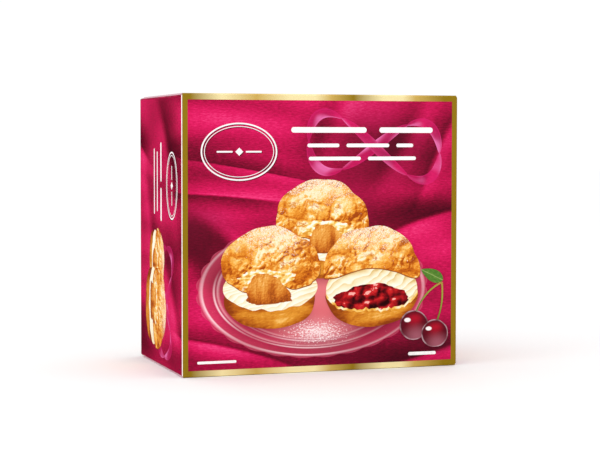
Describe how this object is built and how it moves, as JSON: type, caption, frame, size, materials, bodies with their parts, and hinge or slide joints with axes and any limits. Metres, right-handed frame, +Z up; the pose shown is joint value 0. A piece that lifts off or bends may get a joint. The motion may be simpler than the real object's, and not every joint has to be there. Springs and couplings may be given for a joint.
{
  "type": "shut folding carton for frozen cream puffs",
  "caption": "Upright shut folding carton with a wide printed front, narrower side walls and glued flap ends.",
  "frame": {"origin": "centre of the bottom end, on the surface that the carton stands on", "axes": "+Z up, the wide front wall faces -Y, and +X is to the right as seen from the front"},
  "size_m": [0.19, 0.11, 0.18],
  "materials": {
    "printed_board": "white-lined board printed in magenta and gold under a thin gloss varnish"
  },
  "bodies": {
    "root": {"carton": "printed_board"}
  },
  "joints": []
}
